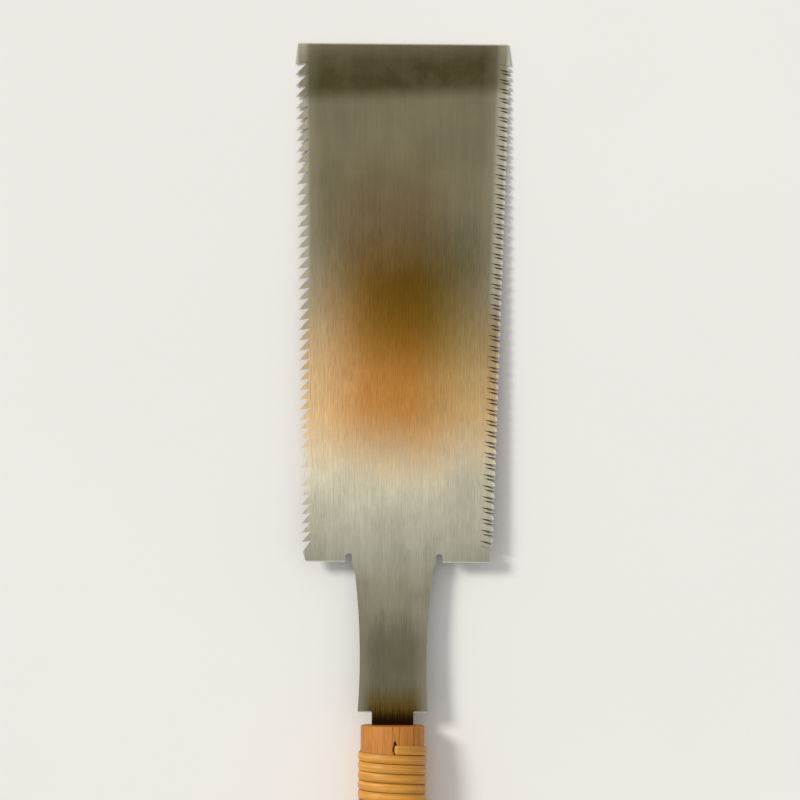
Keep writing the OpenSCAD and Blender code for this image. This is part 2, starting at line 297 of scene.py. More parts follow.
def new_group(name, inputs, output):
    """A node group with number inputs after its Vector, what it is given, and its end socket."""
    tree = bpy.data.node_groups.new(name, "ShaderNodeTree")
    tree.interface.new_socket(name="Vector", in_out="INPUT", socket_type="NodeSocketVector")
    for label, default in inputs.items():
        socket = tree.interface.new_socket(
            name=label, in_out="INPUT", socket_type="NodeSocketFloat"
        )
        socket.default_value = default
    tree.interface.new_socket(name=output, in_out="OUTPUT", socket_type="NodeSocketFloat")
    return tree, put(tree, "NodeGroupInput").outputs, put(tree, "NodeGroupOutput").inputs[output]


def made_once(build):
    """Makes a node group when it is first asked for, and finds it again after that."""

    @functools.wraps(build)
    def found():
        name = build.__name__.replace("_", " ").capitalize()
        return bpy.data.node_groups.get(name) or build(name)

    return found


@made_once
def lengthwise_lines(name):
    """Fine lines along Y, as brushing leaves in steel and fibres leave in wood and cane."""
    tree, given, out = new_group(name, {"Width": 0.5 * mm, "Length": 60 * mm}, "Lines")
    across = over(tree, 1.0, given["Width"])
    along = over(tree, 1.0, given["Length"])
    scale = put(tree, "ShaderNodeCombineXYZ", {0: across, 1: along, 2: across}).outputs[0]
    noise = noise_in(tree, stretched(tree, given["Vector"], scale), detail=3.0, roughness=0.6)
    tree.links.new(fade(tree, noise, 0.3, 0.7), out)
    return tree


@made_once
def patches(name):
    """Soft uneven patches, as handling and damp leave on any surface."""
    tree, given, out = new_group(name, {"Size": 20 * mm}, "Patch")
    scale = over(tree, 1.0, given["Size"])
    noise = noise_in(tree, given["Vector"], scale=scale, detail=4.0, roughness=0.55)
    tree.links.new(fade(tree, noise, 0.32, 0.68), out)
    return tree


@made_once
def growth_rings(name):
    """Growth rings round a pith that runs along Y. They drift, and some are harsher than others."""
    sizes = {"Pith X": 0.0, "Pith Z": -40 * mm, "Ring width": 1.2 * mm}
    tree, given, out = new_group(name, sizes, "Late wood")
    drift_scale, drift_rings = (60.0, 9.0, 60.0), 5.0
    drift = noise_in(tree, stretched(tree, given["Vector"], drift_scale), detail=2.0)
    x, _, z = split(tree, given["Vector"])
    aside = minus(tree, x, given["Pith X"])
    up = minus(tree, z, given["Pith Z"])
    radius = maths(tree, "SQRT", plus(tree, times(tree, aside, aside), times(tree, up, up)))
    rings = plus(tree, over(tree, radius, given["Ring width"]), times(tree, drift, drift_rings))
    year = maths(tree, "FRACT", rings)
    rise = fade(tree, year, 0.35, 0.88)
    fall = fade(tree, year, 1.0, 0.93)
    count = {"W": maths(tree, "FLOOR", rings)}
    chance = put(tree, "ShaderNodeTexWhiteNoise", count, noise_dimensions="1D").outputs[0]
    harshness = fade(tree, chance, 0, 1, 0.2, 1.0)
    tree.links.new(times(tree, rise, fall, harshness), out)
    return tree


def placed(tree, group, inputs):
    """Places a node group, and gives its output."""
    return put(tree, "ShaderNodeGroup", inputs, node_tree=group).outputs[0]


def lines_on(tree, at, width, run):
    """Lines of a width and a length on a surface, from 0 to 1."""
    return placed(tree, lengthwise_lines(), {"Vector": at, "Width": width, "Length": run})


def patches_on(tree, at, size):
    """Patches of a size on a surface, from 0 to 1."""
    return placed(tree, patches(), {"Vector": at, "Size": size})


def rings_on(tree, at, pith, width):
    """Growth rings round a pith at an X and a Z, from 0 to 1 in the late wood."""
    inputs = {"Vector": at, "Pith X": pith[0], "Pith Z": pith[1], "Ring width": width}
    return placed(tree, growth_rings(), inputs)


def new_material(name):
    """A material, its tree and its shader."""
    material = bpy.data.materials.new(name)
    material.use_nodes = True
    return material, material.node_tree, material.node_tree.nodes["Principled BSDF"]


def bump(tree, shader, height, distance, strength):
    """Raises a surface by a height that changes over it."""
    inputs = {"Height": height, "Distance": distance, "Strength": strength}
    tree.links.new(put(tree, "ShaderNodeBump", inputs).outputs[0], shader.inputs["Normal"])


# Steel

# Steels along the blade: each fades in over the one before, between two places in millimetres
# from the heel
STEELS = (("neck", 12, -16), ("bright", 2, 50), ("straw", 32, 74), ("dull", 58, 154))

# Warm tints in the middle of the blade: how far each lies to the crosscut side, and where it fades
# in and out, in millimetres from the axis and the heel
TINT_PATCHES = (
    ("bronze", -2.5, (27, 75), (205, 122)),
    ("core", 5.5, (78, 117), (156, 125)),
    ("halo", 17, (52, 84), (128, 96)),
)
TINT_HEART = 6 * mm

# Painted light from the left: stretches that are lighter on the rip side and darker on the crosscut
# side, where each fades in and out, in millimetres from the heel, and how light its two sides are
SIDE_LIGHT = (
    ((48, 104), (178, 126), 1.14, 0.72),
    ((5, 40), (95, 60), 1.1, 0.86),
)
SIDE_LIGHT_REACH = 42 * mm


class BladePlan:
    """Where a point lies on the blade and how uneven the steel is there, as outputs."""

    def __init__(self, tree, look):
        at = place(tree)
        self.x, self.y, _ = split(tree, at)
        self.beside = maths(tree, "ABSOLUTE", self.x)
        self.lines = lines_on(tree, at, look.line_width, 40 * mm)
        self.fine = lines_on(tree, at, 0.85 * look.line_width, 7 * mm)
        self.streaks = lines_on(tree, at, 7 * mm, 55 * mm)
        self.cloud = patches_on(tree, at, 34 * mm)
        self.mottle = patches_on(tree, at, 9 * mm)
        self.behind = maths(
            tree,
            "MINIMUM",
            self.behind_tips(tree, -1, look.rip_heel, look.rip_toe),
            self.behind_tips(tree, 1, look.crosscut_heel, look.crosscut_toe),
        )
        self.from_heel = minus(tree, plus(tree, self.y, self.shift(tree)), Y_HEEL)

    def behind_tips(self, tree, side, at_heel, at_toe):
        """How far a point lies behind the line of the tips on one edge."""
        widening = (at_toe - at_heel) / BLADE_LENGTH
        reach = plus(tree, times(tree, minus(tree, self.y, Y_HEEL), widening), at_heel)
        return minus(tree, reach, times(tree, self.x, side))

    def shift(self, tree):
        """How far clouds and lines move a tint, because tints run out unevenly."""
        reaches = (
            (self.cloud, 3.5 * mm), (self.streaks, 2.5 * mm),
            (self.lines, 1.0 * mm), (self.fine, 1.6 * mm),
        )
        return plus(
            tree, *[fade(tree, pattern, 0, 1, -reach / 2, reach / 2) for pattern, reach in reaches]
        )

    def stretch(self, tree, *places):
        """1 along a stretch that fades in and out at places in millimetres from the heel."""
        fades = [fade(tree, self.from_heel, low * mm, high * mm) for low, high in places]
        return times(tree, *fades)


def heat_tint(tree, plan, look):
    """Steel from the neck to the toe, under warm tints that are strongest in the middle, with
    painted light from the left on two stretches of it.
    """
    plate = look.heel
    for name, low, high in STEELS:
        plate = tint(tree, plan.stretch(tree, (low, high)), plate, getattr(look, name))
    for name, middle, comes, goes in TINT_PATCHES:
        across = fade(tree, apart(tree, plan.x, middle * mm), look.tint_width, TINT_HEART)
        tint_patch = times(tree, across, plan.stretch(tree, comes, goes))
        plate = tint(tree, tint_patch, plate, getattr(look, name), "MULTIPLY")
    # Painted light from the left: these stretches are lighter on the rip side and darker on the
    # crosscut side
    for comes, goes, rip_side, crosscut_side in SIDE_LIGHT:
        side_light = fade(tree, plan.x, -SIDE_LIGHT_REACH, SIDE_LIGHT_REACH, rip_side, crosscut_side)
        plate = tint(tree, plan.stretch(tree, comes, goes), plate, side_light, "MULTIPLY")
    return plate


def darker_neck(tree, plan, look, plate):
    """Darker steel low on the neck, least darkened along its sides."""
    across = fade(tree, plan.beside, 15.5 * mm, 8 * mm, 0.35, 1.0)
    neck_dark_mask = times(tree, plan.stretch(tree, (-16, -42)), across)
    return tint(tree, neck_dark_mask, plate, look.smoke, "MULTIPLY")


def toe_band(tree, plan, look):
    """1 in the band behind the toe, which lies a little askew and is mottled."""
    askew = 0.044
    from_toe = minus(tree, Y_TOE, minus(tree, plan.y, times(tree, plan.x, askew)))
    return times(
        tree,
        fade(tree, from_toe, look.band_depth + 4.5 * mm, look.band_depth - 5 * mm),
        fade(tree, from_toe, -9 * mm, 12 * mm),
        fade(tree, plan.behind, 0, 12 * mm, 0.66, 1.0),
        fade(tree, plan.mottle, 0, 1, 0.86, 1.0),
    )


def burnt_tang(tree, plan):
    """Two masks that run out in lines over the tang: one for scorched steel, one for black scale,
    which next to the mouth is also painted shade and reflection of the handle.
    """
    over_tang = fade(tree, plan.beside, 16 * mm, 8.5 * mm)
    ragged = 1.8 * mm
    uneven = fade(tree, plus(tree, plan.lines, plan.fine), 0, 2, -ragged, ragged)
    above = minus(tree, plus(tree, plan.y, uneven), Y_SHOULDER)
    return [
        times(tree, fade(tree, above, high, low), over_tang)
        for high, low in ((16 * mm, 1 * mm), (4 * mm, -4 * mm))
    ]


def brush_marks(tree, plan, plate):
    """Brush lines, which show most over the tint, and broader streaks and clouds."""
    brushed = times(
        tree,
        fade(tree, plan.from_heel, -5 * mm, 80 * mm, 0.38, 1.0),
        fade(tree, plan.from_heel, 125 * mm, 180 * mm, 1.0, 0.18),
    )
    plate = vary(tree, plate, plan.lines, 0.95, 1.045, brushed)
    plate = vary(tree, plate, plan.fine, 0.87, 1.10, brushed)
    plate = vary(tree, plate, plan.streaks, 0.97, 1.03)
    return vary(tree, plate, plan.cloud, 0.957, 1.035)


def ground_teeth(tree, plan, look, plate, band):
    """Teeth ground in a strip behind their tips towards the toe, with painted shade on the bevels
    left by filing.
    """
    strip = most(
        tree,
        fade(tree, plan.behind, 13 * mm, 4 * mm, 0, 0.25),
        fade(tree, plan.behind, 7.5 * mm, 3.5 * mm, 0, 0.9),
    )
    outside_band = fade(tree, band, 0, 0.6, 1.0, 0.45)
    ground = times(tree, strip, plan.stretch(tree, (95, 140)), outside_band)
    plate = tint(tree, ground, plate, look.ground)

    toothed = fade(tree, plan.behind, 8 * mm, 6.5 * mm)
    _, _, flat = split(tree, put(tree, "ShaderNodeTexCoord").outputs["Normal"])
    sloping = fade(tree, maths(tree, "ABSOLUTE", flat), 0.99, 0.96)
    # Painted shade: faces that slope away from the plate, the bevels of the teeth, are darkened
    return tint(tree, times(tree, sloping, toothed, 0.85), plate, look.filed)


def rim_highlights(tree, plan, look, plate):
    """Painted highlights: bright steel on the tips, and along the toe, the heel and the shoulders.
    """
    tips = fade(tree, plan.behind, 2 * mm, 0.2 * mm, 0, 0.5)

    def rim(distance):
        """1 on a narrow line along an edge."""
        return fade(tree, distance, 0.7 * mm, 0.2 * mm)

    toe = rim(minus(tree, Y_TOE, plan.y))
    heel = rim(minus(tree, plan.y, Y_HEEL))
    shoulder = rim(minus(tree, plan.y, Y_SHOULDER))
    beside_neck = fade(tree, plan.beside, 22 * mm, 22.5 * mm)
    beside_tang = fade(tree, plan.beside, 9.6 * mm, 10 * mm)
    rims = most(tree, toe, times(tree, heel, beside_neck), times(tree, shoulder, beside_tang))
    # Painted highlights on the tips and in thin lines along the edges
    return tint(tree, most(tree, tips, times(tree, rims, 0.45)), plate, look.worn)


def steel_finish(look):
    """Steel brushed along the blade, with a warm tint, painted light from the left, a dark toe band,
    ground teeth with painted shade on their bevels, painted highlights on tips and edges, and a
    scorched tang whose black next to the handle is partly painted shade."""
    material, tree, shader = new_material("Warm-tinted steel")
    plan = BladePlan(tree, look)
    band = toe_band(tree, plan, look)
    scorched, scale_and_shade = burnt_tang(tree, plan)
    plate = heat_tint(tree, plan, look)
    plate = darker_neck(tree, plan, look, plate)
    plate = tint(tree, band, plate, look.toe_band)
    plate = tint(tree, scorched, plate, look.scorch)
    # Black scale on the tang, partly painted shade and reflection of the handle's end next to the
    # mouth
    plate = tint(tree, scale_and_shade, plate, look.scale)
    plate = brush_marks(tree, plan, plate)
    plate = ground_teeth(tree, plan, look, plate, band)
    plate = rim_highlights(tree, plan, look, plate)
    tree.links.new(plate, shader.inputs["Base Color"])
    shader.inputs["Metallic"].default_value = 1
    rough = plus(
        tree,
        fade(tree, plan.lines, 0, 1, -0.05, 0.06),
        fade(tree, plan.cloud, 0, 1, -0.03, 0.03),
        fade(tree, scale_and_shade, 0, 1, look.roughness, 0.6),
    )
    tree.links.new(rough, shader.inputs["Roughness"])
    bump(tree, shader, plus(tree, plan.lines, plan.fine), 0.008 * mm, 0.5)
    return material


# Wood and rattan


def fine_crack(tree, at, slit_end):
    """1 on a fine crack that runs on from the front slit to the mouth, leaning with the grain."""
    x, y, z = split(tree, at)
    lean, ragged_run, upper_side = -0.14, 1.5 * mm, (8 * mm, 10 * mm)
    risen = minus(tree, y, slit_end)
    inputs = {"W": over(tree, y, ragged_run), "Scale": 1.0}
    ragged = put(tree, "ShaderNodeTexNoise", inputs, noise_dimensions="1D").outputs[0]
    aside = fade(tree, ragged, 0.2, 0.8, 1.0 * mm, 1.4 * mm)
    course = plus(tree, times(tree, risen, lean), aside)
    return times(
        tree,
        fade(tree, apart(tree, x, course), 0.22 * mm, 0.06 * mm),
        fade(tree, risen, -0.6 * mm, 0.2 * mm),
        fade(tree, z, *upper_side),
        fade(tree, ragged, 0.35, 0.6, 0.9, 0.4),
    )


def wood_finish(look, name, pith, bare):
    """Straight-grained softwood, darkened by hands, with painted shade where the binding starts."""
    material, tree, shader = new_material(name)
    at = place(tree)
    _, y, _ = split(tree, at)
    rings = rings_on(tree, at, pith, look.ring_width)
    fibres = lines_on(tree, at, look.fibre_width, 9 * mm)
    worn = patches_on(tree, at, 26 * mm)
    binding, slit_lap = Y_MOUTH - bare, 0.2 * mm

    wood = tint(tree, times(tree, rings, 0.8), look.early, look.late)
    wood = vary(tree, wood, fibres, 0.74, 1.1)
    wood = vary(tree, wood, worn, 0.9, 1.05)
    # Painted shade: a narrow darker line on the wood where the binding starts
    binding_shade = fade(tree, y, binding + 0.9 * mm, binding - 0.2 * mm)
    grime_and_shade_mask = most(tree, times(tree, binding_shade, 0.15), times(tree, worn, 0.22))
    wood = tint(tree, grime_and_shade_mask, wood, look.grime)
    wood = tint(tree, fine_crack(tree, at, binding + SLIT_OUT - slit_lap), wood, look.grime)
    end_grain = fade(tree, y, Y_MOUTH - 0.5 * mm, Y_MOUTH - 0.05 * mm)
    wood = tint(tree, times(tree, end_grain, 0.35), wood, look.late)
    tree.links.new(wood, shader.inputs["Base Color"])
    rough = plus(tree, fade(tree, worn, 0, 1, 0.56, 0.44), times(tree, fibres, 0.08))
    tree.links.new(rough, shader.inputs["Roughness"])
    shader.inputs["Specular IOR Level"].default_value = 0.3
    bump(tree, shader, plus(tree, times(tree, fibres, 0.6), rings), 0.04 * mm, 0.6)
    return material


def cane_joints(tree, along, spacing):
    """1 at the joints of the cane, which come at a spacing along the strip."""
    start, narrow, wide = 110 * mm, 0.001, 0.0075
    part = maths(tree, "FRACT", over(tree, plus(tree, along, start), spacing))
    return fade(tree, apart(tree, part, 0.5), wide, narrow)


def rattan_finish(look):
    """Glossy split cane, with its fibres, flecks and joints along the strip, and painted shade along
    its edges where the turns meet.
    """
    material, tree, shader = new_material("Rattan")
    on_strip = put(tree, "ShaderNodeUVMap", uv_map="Strip").outputs[0]
    across, along, _ = split(tree, on_strip)
    fibres = lines_on(tree, on_strip, look.fibre_width, 40 * mm)
    bands = lines_on(tree, on_strip, 1.6 * mm, 55 * mm)
    flecks = lines_on(tree, on_strip, 0.35 * mm, 3.2 * mm)
    worn = patches_on(tree, place(tree), 16 * mm)
    joints = cane_joints(tree, along, look.knot_spacing)
    half = look.strip_w / 2
    side = fade(tree, maths(tree, "ABSOLUTE", across), 0.86 * half, half)

    cane = tint(tree, times(tree, fibres, 0.5), look.skin, look.shade)
    cane = vary(tree, cane, bands, 0.78, 1.12)
    cane = tint(tree, times(tree, fade(tree, flecks, 0.93, 1.0), 0.55), cane, look.groove)
    cane = tint(tree, times(tree, joints, 0.45), cane, look.shade)
    # Painted shade: the strip's edges are darkened where the turns meet
    cane = tint(tree, times(tree, side, 0.6), cane, look.groove)
    cane = tint(tree, times(tree, worn, 0.16), cane, look.shade)
    tree.links.new(cane, shader.inputs["Base Color"])
    rough = plus(
        tree,
        fade(tree, worn, 0, 1, 0.48, 0.38),
        times(tree, fibres, 0.06),
        times(tree, side, 0.25),
    )
    tree.links.new(rough, shader.inputs["Roughness"])
    shader.inputs["Coat Weight"].default_value = 0.2
    shader.inputs["Coat Roughness"].default_value = 0.4
    shader.inputs["Specular IOR Level"].default_value = 0.35
    height = plus(tree, times(tree, fibres, 0.5), times(tree, joints, 2.0))
    bump(tree, shader, height, 0.03 * mm, 0.6)
    return material


# Pieces


def begin(name, add, **size):
    """Adds a primitive alone, moves its place into its mesh and opens it for editing."""
    bpy.ops.object.select_all(action="DESELECT")
    add(**size)
    piece = bpy.context.object
    piece.name = piece.data.name = name
    bpy.ops.object.transform_apply(location=True, rotation=True, scale=True)
    bpy.ops.object.mode_set(mode="EDIT")
    return piece


def pick(piece, kind, test):
    """Selects only the vertices or edges of which every point passes the test."""
    bpy.ops.mesh.select_all(action="DESELECT")
    bpy.ops.mesh.select_mode(type=kind)
    mesh = bmesh.from_edit_mesh(piece.data)
    for part in mesh.verts if kind == "VERT" else mesh.edges:
        points = [part] if kind == "VERT" else part.verts
        if all(test(p.co) for p in points):
            part.select_set(True)
    mesh.select_flush_mode()
    bmesh.update_edit_mesh(piece.data)


def slice_at(y):
    """Adds an edge loop across the mesh that is being edited."""
    bpy.ops.mesh.select_all(action="SELECT")
    bpy.ops.mesh.bisect(plane_co=(0, y, 0), plane_no=(0, 1, 0))


def turn_outwards():
    """Points all faces of the mesh that is being edited outwards, and ends the editing."""
    bpy.ops.mesh.select_all(action="SELECT")
    bpy.ops.mesh.normals_make_consistent(inside=False)
    bpy.ops.object.mode_set(mode="OBJECT")


def cut_away(piece, cutter):
    """Cuts one closed mesh out of a piece, and clears the cutter away."""
    points = len(piece.data.vertices)
    bpy.context.view_layer.objects.active = piece
    cut = piece.modifiers.new("cut", "BOOLEAN")
    cut.operation = "DIFFERENCE"
    cut.solver = "EXACT"
    cut.object = cutter
    bpy.ops.object.modifier_apply(modifier=cut.name)
    if len(piece.data.vertices) == points:
        raise RuntimeError(f"{cutter.name} cut nothing out of {piece.name}")
    bpy.data.objects.remove(cutter)


def hand_over(piece, node, material, sharp):
    """Smooths a finished piece up to a sharp angle in degrees, gives it its material and puts it
    in the place of its solid."""
    bpy.ops.object.select_all(action="DESELECT")
    piece.select_set(True)
    bpy.context.view_layer.objects.active = piece
    bpy.ops.object.shade_smooth_by_angle(angle=math.radians(sharp))
    piece.data.materials.clear()
    piece.data.materials.append(material)
    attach(piece, "root")
    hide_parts(node)


def handle_half_at(wood, y):
    """Half the width and half the thickness of the handle at a place along it."""
    swell = ((Y_MOUTH - y) / HANDLE_LENGTH) ** 2
    return (
        (wood.mouth_w + (wood.butt_w - wood.mouth_w) * swell) / 2,
        (wood.mouth_t + (wood.butt_t - wood.mouth_t) * swell) / 2,
    )


def oval_half(wood, name, up):
    """Draws an oval bar out from the mouth to the butt, and keeps the half on one side."""
    sides, steps, near, on_seam = 96, 20, 0.1 * mm, 0.01 * mm
    piece = begin(
        name,
        bpy.ops.mesh.primitive_circle_add,
        vertices=sides,
        radius=wood.mouth_w / 2,
        fill_type="NGON",
        location=(0, Y_MOUTH, 0),
        rotation=(math.radians(90), 0, 0),
    )
    bpy.ops.transform.resize(value=(1, 1, wood.mouth_t / wood.mouth_w))
    step = HANDLE_LENGTH / steps
    for i in range(steps):
        y = Y_MOUTH - step * (i + 1)
        before, after = handle_half_at(wood, y + step), handle_half_at(wood, y)
        bpy.ops.mesh.extrude_region_move(TRANSFORM_OT_translate={"value": (0, -step, 0)})
        bpy.ops.transform.resize(
            value=(after[0] / before[0], 1, after[1] / before[1]), center_override=(0, y, 0)
        )
    pick(piece, "EDGE", lambda p: p.y > Y_MOUTH - near)
    bpy.ops.mesh.bevel(offset=wood.mouth_round, segments=3, affect="EDGES")
    pick(piece, "EDGE", lambda p: p.y < Y_BUTT + near)
    bpy.ops.mesh.bevel(offset=wood.butt_round, segments=8, affect="EDGES")

    bpy.ops.mesh.select_all(action="SELECT")
    bpy.ops.mesh.bisect(
        plane_co=(0, 0, 0), plane_no=(0, 0, up), use_fill=True, clear_inner=True
    )
    pick(piece, "EDGE", lambda p: abs(p.z) < on_seam)
    bpy.ops.mesh.bevel(offset=wood.seam_round, segments=2, affect="EDGES")
    turn_outwards()
    return piece


def tang_cutter():
    """The shape of the hidden tang, straight at the mouth and then tapered."""
    width, end_width, thick = 19.1 * mm, 9 * mm, 0.7 * mm
    fit, overrun, close = 0.05 * mm, 4 * mm, 0.1 * mm
    near, far = Y_MOUTH + overrun, Y_TANG_END - fit
    cutter = begin(
        "tang_cutter",
        bpy.ops.mesh.primitive_cube_add,
        size=1,
        location=(0, (near + far) / 2, 0),
        scale=(width + 2 * fit, near - far, thick + 2 * fit),
    )
    slice_at(Y_MOUTH - width)
    pick(cutter, "VERT", lambda p: p.y < far + close)
    bpy.ops.transform.resize(
        value=((end_width + 2 * fit) / (width + 2 * fit), 1, 1), center_override=(0, far, 0)
    )
    bpy.ops.object.mode_set(mode="OBJECT")
    return cutter


def split_course():
    """Stations along a split: the share of its length, its shift in millimetres and the share of
    its width."""
    wander = (
        (0.0, 0.12, 0.2), (0.2, 0.1, 0.8), (0.38, 0.22, 1.0), (0.55, 0.02, 1.15),
        (0.72, -0.12, 1.0), (0.88, 0.06, 0.7), (1.0, 0.0, 0.55),
    )
    between = 4
    stations = []
    for before, after in zip(wander, wander[1:]):
        for i in range(between):
            t = i / between
            eased = t**2 * (3 - 2 * t)
            stations.append([a + (b - a) * s for a, b, s in zip(before, after, (t, eased, eased))])
    return stations + [wander[-1]]


def slit_cutter(x, near, far, top):
    """A split along the grain. Its sides wander, as a split's do."""
    depth, above, width, close = 5.4 * mm, 2 * mm, 1.6 * mm, 0.05 * mm
    stations = split_course()
    cutter = begin(
        "slit_cutter",
        bpy.ops.mesh.primitive_cube_add,
        size=1,
        location=(x, (near + far) / 2, top - depth / 2 + above / 2),
        scale=(width, abs(near - far), depth + above),
    )
    for part, _, _ in stations[1:-1]:
        slice_at(near + (far - near) * part)
    for part, aside, wide in stations:
        y = near + (far - near) * part
        pick(cutter, "VERT", lambda p: abs(p.y - y) < close)
        bpy.ops.transform.resize(value=(wide, 1, 1), center_override=(x, y, 0))
        bpy.ops.transform.translate(value=(aside * mm, 0, 0))
    bpy.ops.object.mode_set(mode="OBJECT")
    return cutter


class SAW_OT_dress_blade(bpy.types.Operator):
    """Gives the toothed blade its brushed and warm-tinted steel"""

    bl_idname = "saw.dress_blade"
    bl_label = "Dress blade"

    def execute(self, context):
        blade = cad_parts["blade"]
        steel = steel_finish(context.scene.saw_steel)
        if not blade.material_slots:
            raise RuntimeError("the packed blade has no material slot to dress")
        for material_slot in blade.material_slots:
            material_slot.material = steel
        return {"FINISHED"}


class SAW_OT_make_handle(bpy.types.Operator):
    """Makes the two wooden halves of the handle, with the tang's pocket and the rattan's slits"""

    bl_idname = "saw.make_handle"
    bl_label = "Make handle halves"

    def execute(self, context):
        wood, rattan = context.scene.saw_wood, context.scene.saw_rattan
        upper = oval_half(wood, "wood_upper_half", 1)
        lower = oval_half(wood, "wood_lower_half", -1)
        for half in (upper, lower):
            cut_away(half, tang_cutter())
        first = Y_MOUTH - rattan.bare
        last = first - rattan.cad_w - rattan.pitch * rattan.turns
        top = wood.mouth_t / 2
        cut_away(upper, slit_cutter(SLIT_ASIDE, first + SLIT_OUT, first - SLIT_IN, top))
        cut_away(upper, slit_cutter(-SLIT_ASIDE, last - SLIT_OUT, last + SLIT_IN, top))

        # The halves come from different boards, so each has its own pith
        upper_pith, lower_pith = (-42 * mm, -16 * mm), (-14 * mm, 38 * mm)
        upper_wood = wood_finish(wood, "Upper wood", upper_pith, rattan.bare)
        lower_wood = wood_finish(wood, "Lower wood", lower_pith, rattan.bare)
        hand_over(upper, "handle_upper_half", upper_wood, sharp=35)
        hand_over(lower, "handle_lower_half", lower_wood, sharp=35)
        return {"FINISHED"}


def strip_section(rattan):
    """The strip's outline: its round back from edge to edge, then its flat inside."""
    back, inside, squareness, fullness, bedded = 15, 5, 0.8, 0.85, 0.03 * mm
    points = []
    for i in range(back):
        a = math.pi * (1 - i / (back - 1))
        across = math.copysign(abs(math.cos(a)) ** squareness, math.cos(a)) * rattan.strip_w / 2
        height = math.sin(a) ** fullness * rattan.strip_t if 0 < i < back - 1 else 0.0
        points.append((across, height))
    for i in range(1, inside + 1):
        points.append((rattan.strip_w * (0.5 - i / (inside + 1)), -bedded))
    return points


def tucked(point, out, down):
    """Frames from the strip's path into a slit, where its back faces the angle down."""
    bend, tuck, bend_steps, tuck_steps = 0.5 * mm, 4 * mm, 6, 3
    centre = point - bend * out
    start = math.atan2(out.z, out.x)
    turns = [start + (down - start) * i / bend_steps for i in range(1, bend_steps + 1)]
    ways = [Vector((math.cos(a), 0, math.sin(a))) for a in turns]
    bent = [(centre + bend * way, way) for way in ways]
    drops = [Vector((0, 0, tuck * i / tuck_steps)) for i in range(1, tuck_steps + 1)]
    return bent + [(bent[-1][0] - drop, ways[-1]) for drop in drops]


def strip_path(wood, rattan):
    """Frames along the strip: a point on the wood and the way out from it. Each end bends into
    its slit."""
    end_angle, per_turn = math.radians(10), 72
    # The turns lie a little unevenly: the size in millimetres, rate and start of each wave
    waves = ((0.035, 0.83, 0.6), (0.025, 2.21, 0.0))
    sweep = 2 * math.pi * rattan.turns - 2 * end_angle
    y_first = Y_MOUTH - rattan.bare - rattan.cad_w / 2
    frames = []
    for k in range(rattan.turns * per_turn + 1):
        turned = sweep * k / (rattan.turns * per_turn)
        a = math.pi / 2 - end_angle - turned
        drift = sum(size * math.sin(rate * turned + start) for size, rate, start in waves)
        y = y_first - rattan.pitch * turned / (2 * math.pi) + drift * mm
        half_w, half_t = handle_half_at(wood, y)
        out = Vector((math.cos(a) / half_w, 0, math.sin(a) / half_t)).normalized()
        frames.append((Vector((half_w * math.cos(a), y, half_t * math.sin(a))), out))
    return tucked(*frames[0], math.pi)[::-1] + frames + tucked(*frames[-1], 0)


def lay_strip(strip, section, path):
    """Lays a grid along the path. Its rows become rings, its first and last columns meet, and its
    UV map holds the distances across and along the strip, in metres."""
    sides, rings = len(section), len(path)
    run = [0.0]
    for (a, _), (b, _) in zip(path, path[1:]):
        run.append(run[-1] + (b - a).length)
    spots = []
    for vertex in strip.data.vertices:
        column = round((vertex.co.x + 0.5) * sides)
        row = round((vertex.co.y + 0.5) * (rings - 1))
        across, height = section[column % sides]
        spots.append((across, run[row]))
        point, out = path[row]
        vertex.co = point + Vector((0, across, 0)) + height * out
    flat_map = strip.data.uv_layers[0]
    flat_map.name = "Strip"
    for loop in strip.data.loops:
        flat_map.data[loop.index].uv = spots[loop.vertex_index]


class SAW_OT_wind_rattan(bpy.types.Operator):
    """Winds one rattan strip round the handle, with both ends tucked into slits"""

    bl_idname = "saw.wind_rattan"
    bl_label = "Wind rattan"

    def execute(self, context):
        wood, rattan = context.scene.saw_wood, context.scene.saw_rattan
        section, path = strip_section(rattan), strip_path(wood, rattan)
        strip = begin(
            "rattan_strip",
            bpy.ops.mesh.primitive_grid_add,
            x_subdivisions=len(section),
            y_subdivisions=len(path) - 1,
            size=1,
        )
        bpy.ops.object.mode_set(mode="OBJECT")
        lay_strip(strip, section, path)
        bpy.ops.object.mode_set(mode="EDIT")
        bpy.ops.mesh.select_all(action="SELECT")
        bpy.ops.mesh.remove_doubles(threshold=0.001 * mm)
        bpy.ops.mesh.fill_holes(sides=0)
        turn_outwards()
        hand_over(strip, "rattan_wrap", rattan_finish(rattan), sharp=60)
        return {"FINISHED"}


# Stage

# Where the key lamp shines from, and the warm whites of the lamp and the surroundings
KEY_FROM = Vector((-2.9, 1.5, 2.9))
KEY_COLOUR = (1.0, 0.97, 0.92)
SKY_COLOUR = (1.0, 0.99, 0.97, 1)


def resting():
    """Where the saw touches its floor, under the front of its binding, and how far the floor leans
    up to the toe, which touches it too."""
    gap, first_turn = 0.05 * mm, 4 * mm
    toe = Vector((0, Y_TOE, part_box("blade")[0].z - gap))
    low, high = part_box("rattan_wrap")
    binding = Vector((0, high.y - first_turn, low.z - gap))
    return binding, math.atan2(toe.z - binding.z, toe.y - binding.y)


def floor_plane(stage):
    """A wide pale floor, uneven by a trace."""
    touch, lean = resting()
    bpy.ops.object.select_all(action="DESELECT")
    bpy.ops.mesh.primitive_plane_add(size=14, location=touch, rotation=(lean, 0, 0))
    floor = bpy.context.object
    floor.name = "floor"
    material, tree, shader = new_material("Pale floor")
    soft = patches_on(tree, place(tree), size=0.5)
    tree.links.new(vary(tree, stage.floor, soft, 0.985, 1.0), shader.inputs["Base Color"])
    shader.inputs["Roughness"].default_value = 0.9
    shader.inputs["Specular IOR Level"].default_value = 0.1
    floor.data.materials.append(material)


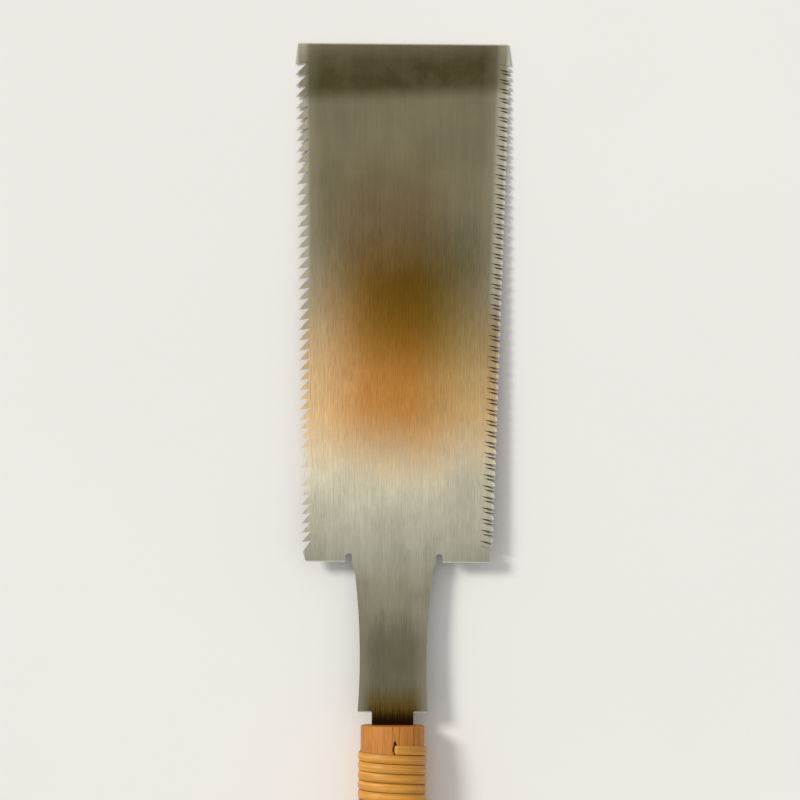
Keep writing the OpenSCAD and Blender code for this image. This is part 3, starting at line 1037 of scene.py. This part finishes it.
def look_down(stage):
    """A camera square over the floor, with the toe at the top of the picture."""
    data = bpy.data.cameras.new("camera")
    data.sensor_width = 36
    data.lens = data.sensor_width * stage.distance / stage.view_width
    camera = bpy.data.objects.new("camera", data)
    bpy.context.scene.collection.objects.link(camera)
    middle = Vector((stage.view_aside, Y_HEEL + stage.view_from_heel, 0))
    camera.matrix_world = (
        Matrix.Translation(middle)
        @ Matrix.Rotation(resting()[1], 4, "X")
        @ Matrix.Translation((0, 0, stage.distance))
        @ Matrix.Rotation(stage.roll, 4, "Z")
    )
    bpy.context.scene.camera = camera


def soft_surroundings(stage):
    """Surroundings that are brightest overhead and on the left. The camera and gloss see them in
    full, and dull surfaces are lit by a share of them."""
    world = bpy.data.worlds.new("studio")
    world.use_nodes = True
    bpy.context.scene.world = world
    tree, background = world.node_tree, world.node_tree.nodes["Background"]
    aside, _, up = split(tree, put(tree, "ShaderNodeTexCoord").outputs["Generated"])
    rays = put(tree, "ShaderNodeLightPath").outputs
    seen = most(tree, rays["Is Camera Ray"], rays["Is Glossy Ray"])
    strength = times(
        tree,
        fade(tree, up, 0.3, 0.95, stage.horizon, stage.sky),
        fade(tree, aside, -0.75, 0.75, stage.left, stage.right),
        fade(tree, seen, 0, 1, stage.fill, 1.0),
    )
    tree.links.new(strength, background.inputs["Strength"])
    background.inputs["Color"].default_value = SKY_COLOUR


def key_lamp(stage):
    """A far, broad lamp on the left, which gives the saw its shadow."""
    lamp = bpy.data.lights.new("key", "SUN")
    lamp.energy = stage.key
    lamp.angle = stage.key_spread
    lamp.color = KEY_COLOUR
    key = bpy.data.objects.new("key", lamp)
    key.location = KEY_FROM
    key.rotation_euler = (-KEY_FROM).to_track_quat("-Z", "Y").to_euler()
    bpy.context.scene.collection.objects.link(key)


class SAW_OT_set_stage(bpy.types.Operator):
    """Lays the pale floor under the saw and sets the camera and the soft lights"""

    bl_idname = "saw.set_stage"
    bl_label = "Set stage"

    def execute(self, context):
        stage = context.scene.saw_stage
        floor_plane(stage)
        look_down(stage)
        soft_surroundings(stage)
        key_lamp(stage)
        context.scene.view_settings.view_transform = "Standard"
        return {"FINISHED"}


# Panel and registration


class SAW_PT_panel(bpy.types.Panel):
    """Lists the saw's pieces and their settings"""

    bl_idname = "SAW_PT_panel"
    bl_label = "Pull saw"
    bl_space_type = "VIEW_3D"
    bl_region_type = "UI"
    bl_category = "Saw"

    def draw(self, context):
        for name, (settings, operator) in STEPS.items():
            box = self.layout.box()
            box.operator(operator.bl_idname)
            group = getattr(context.scene, name)
            for key in settings.__annotations__:
                box.prop(group, key)


STEPS = {
    "saw_steel": (SteelSettings, SAW_OT_dress_blade),
    "saw_wood": (WoodSettings, SAW_OT_make_handle),
    "saw_rattan": (RattanSettings, SAW_OT_wind_rattan),
    "saw_stage": (StageSettings, SAW_OT_set_stage),
}


def register():
    for name, (settings, operator) in STEPS.items():
        bpy.utils.register_class(settings)
        bpy.utils.register_class(operator)
        setattr(bpy.types.Scene, name, PointerProperty(type=settings))
    bpy.utils.register_class(SAW_PT_panel)


def unregister():
    bpy.utils.unregister_class(SAW_PT_panel)
    for name, (settings, operator) in reversed(STEPS.items()):
        delattr(bpy.types.Scene, name)
        bpy.utils.unregister_class(operator)
        bpy.utils.unregister_class(settings)


def main():
    register()
    bpy.ops.saw.dress_blade()
    bpy.ops.saw.make_handle()
    bpy.ops.saw.wind_rattan()
    bpy.ops.saw.set_stage()


if __name__ == "__main__":
    main()
